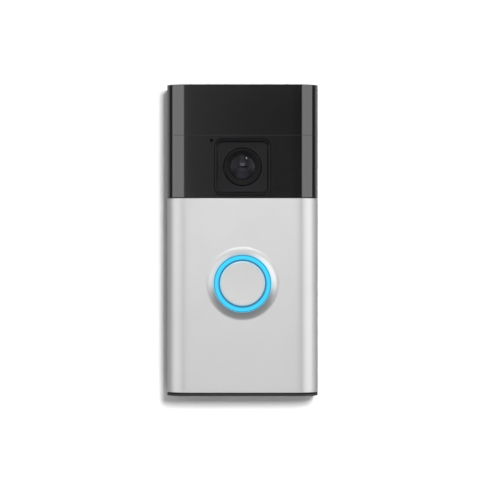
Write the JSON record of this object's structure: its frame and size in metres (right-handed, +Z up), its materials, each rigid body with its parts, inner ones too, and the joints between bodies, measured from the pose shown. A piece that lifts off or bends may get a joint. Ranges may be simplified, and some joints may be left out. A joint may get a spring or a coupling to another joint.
{
  "type": "video doorbell",
  "caption": "Tall slim battery video doorbell on a wall bracket, with a glossy black sensor and camera top, a satin metal faceplate and a round button in a lit blue ring.",
  "frame": {"origin": "middle of the wall bracket's back face, on the wall plane", "axes": "+Z up; the front with the button and the lens faces -Y; the wall is on the +Y side"},
  "size_m": [0.062, 0.028, 0.1274],
  "materials": {
    "satin_nickel": "satin nickel plated, fine blasted",
    "gloss_black": "polished black, dark tint",
    "matte_black": "fine moulded texture",
    "camera_black": "smooth satin black",
    "light_blue": "translucent, lit from behind",
    "lens_glass": "coated, faint purple reflection",
    "milky_plastic": "translucent milky",
    "steel": "zinc plated",
    "brass": "bright turned",
    "board_green": "solder-masked laminate",
    "black_rubber": "soft matte",
    "cell_foil": "laminated foil pouch",
    "grey_foam": "open foam and woven mesh",
    "orange_plastic": "smooth",
    "red_sheath": "smooth wire sheath",
    "black_sheath": "smooth wire sheath",
    "chip_black": "moulded epoxy",
    "plug_white": "moulded nylon"
  },
  "bodies": {
    "bracket": {"wall_bracket": "matte_black"},
    "unit": {"rear_housing": "matte_black", "housing_seal": "black_rubber", "front_chassis": "matte_black", "sensor_cover": "gloss_black", "camera_cover": "gloss_black", "main_board": "board_green", "battery_plug": "plug_white", "battery_lead_red": "red_sheath", "battery_lead_black": "black_sheath", "lock_insert": "brass", "speaker_frame": "matte_black", "speaker_mesh": "grey_foam", "camera_bezel": "camera_black", "lens_barrel": "camera_black", "lens_front": "lens_glass", "lens_rear": "lens_glass", "camera_board": "board_green", "image_sensor": "chip_black", "light_ring": "light_blue", "light_board": "board_green", "button_switch": "chip_black", "fresnel_lens": "milky_plastic", "microphone": "steel", "microphone_boot": "black_rubber", "radio_shield": "steel", "antenna": "steel", "cell_pad": "grey_foam", "battery_cell": "cell_foil", "charging_socket": "steel", "socket_tongue": "chip_black", "setup_switch": "chip_black", "infrared_led_left": "milky_plastic", "motion_sensor_left": "steel", "terminal_plate_left": "brass", "housing_screw_top_left": "steel", "housing_screw_middle_left": "steel", "housing_screw_bottom_left": "steel", "board_screw_top_left": "steel", "board_screw_bottom_left": "steel", "infrared_led_right": "milky_plastic", "motion_sensor_right": "steel", "terminal_plate_right": "brass", "housing_screw_top_right": "steel", "housing_screw_middle_right": "steel", "housing_screw_bottom_right": "steel", "board_screw_top_right": "steel", "board_screw_bottom_right": "steel"},
    "faceplate": {"faceplate": "satin_nickel"},
    "button": {"button_cap": "satin_nickel", "button_clip": "steel", "switch_plunger": "plug_white"},
    "setup_button": {"setup_button": "orange_plastic"},
    "lock_carrier": {"lock_collar": "steel"},
    "lock_screw": {"lock_screw": "steel"},
    "terminal_washer_left": {"terminal_washer_left": "steel"},
    "terminal_screw_left": {"terminal_screw_left": "steel"},
    "terminal_washer_right": {"terminal_washer_right": "steel"},
    "terminal_screw_right": {"terminal_screw_right": "steel"},
    "speaker_cone": {"speaker_cone": "chip_black"}
  },
  "joints": [
    {"name": "unit_tilt", "type": "hinge", "parent": "bracket", "child": "unit", "pos_m": [0, -0.0038, 0.0594], "axis": [-1, 0, 0], "range_deg": [0, 10]},
    {"name": "faceplate_pull", "type": "slide", "parent": "unit", "child": "faceplate", "axis": [0, -1, 0], "range_m": [0, 0.025]},
    {"name": "button_press", "type": "slide", "parent": "unit", "child": "button", "axis": [0, 1, 0], "range_m": [0, 0.0006], "stiffness_N_per_m": 1500, "springref_m": -0.001},
    {"name": "setup_button_press", "type": "slide", "parent": "unit", "child": "setup_button", "axis": [0, -1, 0], "range_m": [0, 0.00035], "stiffness_N_per_m": 1500, "springref_m": -0.0005},
    {"name": "speaker_cone_stroke", "type": "slide", "parent": "unit", "child": "speaker_cone", "axis": [0, 0, 1], "range_m": [-0.0002, 0.0002], "stiffness_N_per_m": 1500},
    {"name": "lock_travel", "type": "slide", "parent": "unit", "child": "lock_carrier", "axis": [0, 0, -1], "range_m": [0, 0.0014]},
    {"name": "lock_turn", "type": "hinge", "parent": "lock_carrier", "child": "lock_screw", "pos_m": [0, -0.004, -0.0636], "axis": [0, 0, -1], "range_deg": [0, 1120]},
    {"name": "terminal_travel_left", "type": "slide", "parent": "unit", "child": "terminal_washer_left", "axis": [0, 1, 0], "range_m": [0, 0.0015]},
    {"name": "terminal_turn_left", "type": "hinge", "parent": "terminal_washer_left", "child": "terminal_screw_left", "pos_m": [-0.008, -0.0051, 0.0166], "axis": [0, 1, 0], "range_deg": [0, 1200]},
    {"name": "terminal_travel_right", "type": "slide", "parent": "unit", "child": "terminal_washer_right", "axis": [0, 1, 0], "range_m": [0, 0.0015]},
    {"name": "terminal_turn_right", "type": "hinge", "parent": "terminal_washer_right", "child": "terminal_screw_right", "pos_m": [0.008, -0.0051, 0.0166], "axis": [0, 1, 0], "range_deg": [0, 1200]}
  ],
  "couplings": [
    {"joint": "lock_turn", "follows": "lock_travel", "rad_per_m": 13960},
    {"joint": "terminal_turn_left", "follows": "terminal_travel_left", "rad_per_m": 13960},
    {"joint": "terminal_turn_right", "follows": "terminal_travel_right", "rad_per_m": 13960}
  ]
}
